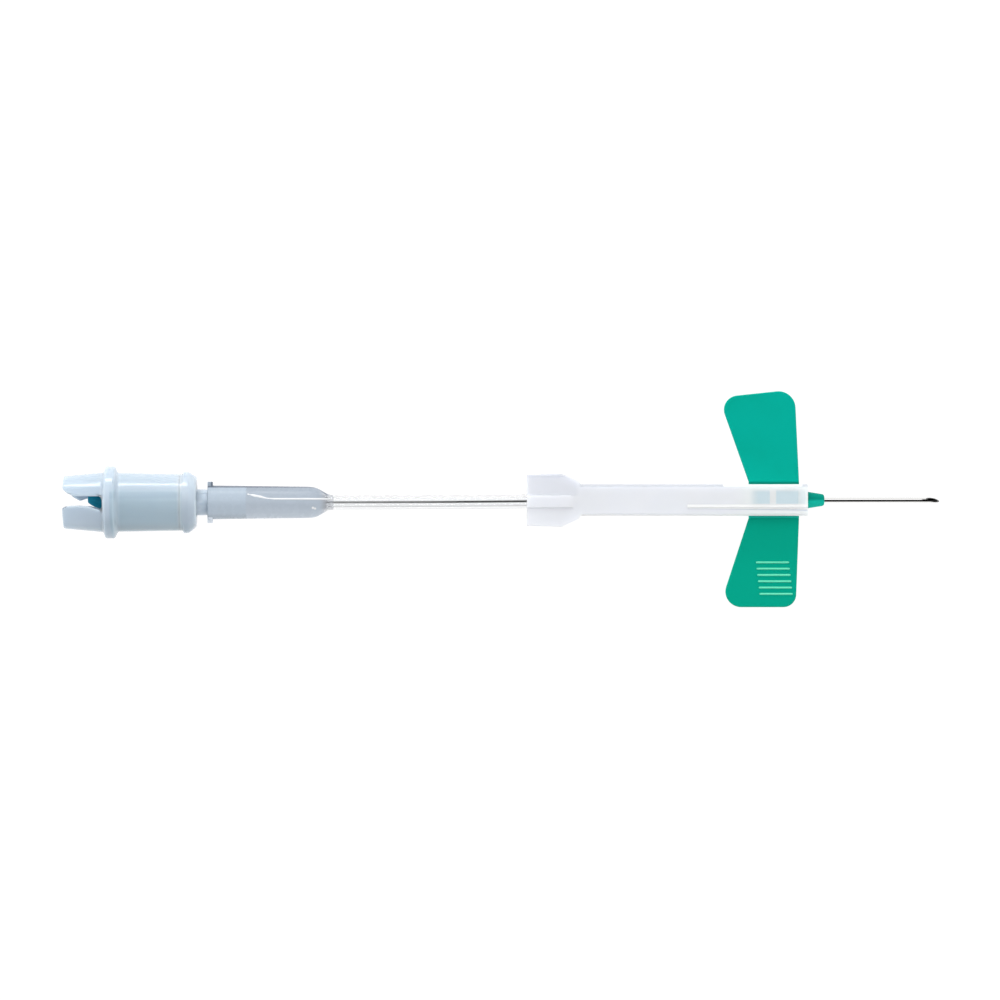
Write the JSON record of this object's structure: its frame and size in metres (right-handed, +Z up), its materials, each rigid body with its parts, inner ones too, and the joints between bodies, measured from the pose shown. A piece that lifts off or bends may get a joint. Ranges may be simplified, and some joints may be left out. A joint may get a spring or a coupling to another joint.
{
  "type": "safety butterfly needle",
  "caption": "Winged blood collection needle with a sliding safety sleeve, a short clear tube, a luer joint and a small tube holder with a rubber-covered rear needle.",
  "frame": {"origin": "middle of the assembly's box, on the table it lies on", "axes": "+X along the needle towards its tip, +Y across to the left wing, +Z up"},
  "size_m": [0.1456, 0.036, 0.012],
  "materials": {
    "holder_plastic": "milky bluish translucent moulded plastic, satin",
    "cap_plastic": "milky translucent moulded plastic, a little lighter",
    "clear_plastic": "clear moulded plastic",
    "clear_tubing": "clear soft tubing",
    "milky_plastic": "milky white translucent moulded plastic, satin",
    "green_plastic": "teal green moulded plastic, fine matt texture",
    "teal_rubber": "dark teal rubber",
    "needle_steel": "drawn stainless steel tube with a ground bevel"
  },
  "bodies": {
    "needle_line": {"hub": "green_plastic", "needle": "needle_steel", "tubing": "clear_tubing", "luer_connector": "clear_plastic"},
    "sleeve": {"safety_sleeve": "milky_plastic"},
    "wing_left": {"wing_left": "green_plastic"},
    "wing_right": {"wing_right": "green_plastic"},
    "holder": {"holder_shell": "holder_plastic", "luer_hub": "cap_plastic", "rear_needle": "needle_steel"},
    "rubber": {"rubber_sleeve": "teal_rubber"}
  },
  "joints": [
    {"name": "sleeve_slide", "type": "slide", "parent": "needle_line", "child": "sleeve", "axis": [1, 0, 0], "range_m": [0, 0.0245]},
    {"name": "wing_left_fold", "type": "hinge", "parent": "needle_line", "child": "wing_left", "pos_m": [0.0455, 0.00283, 0.00295], "axis": [1, 0, 0], "range_deg": [0, 90], "stiffness_Nm_per_rad": 0.0005},
    {"name": "wing_right_fold", "type": "hinge", "parent": "needle_line", "child": "wing_right", "pos_m": [0.0455, -0.00327, 0.00295], "axis": [-1, 0, 0], "range_deg": [0, 90], "stiffness_Nm_per_rad": 0.0005},
    {"name": "luer_release", "type": "slide", "parent": "needle_line", "child": "holder", "axis": [-0.9975, 0, 0.0714], "range_m": [0, 0.01]},
    {"name": "rubber_press", "type": "slide", "parent": "holder", "child": "rubber", "axis": [0.9975, 0, -0.0714], "range_m": [0, 0.008], "stiffness_N_per_m": 60, "deforming": ["rubber_sleeve"]}
  ]
}
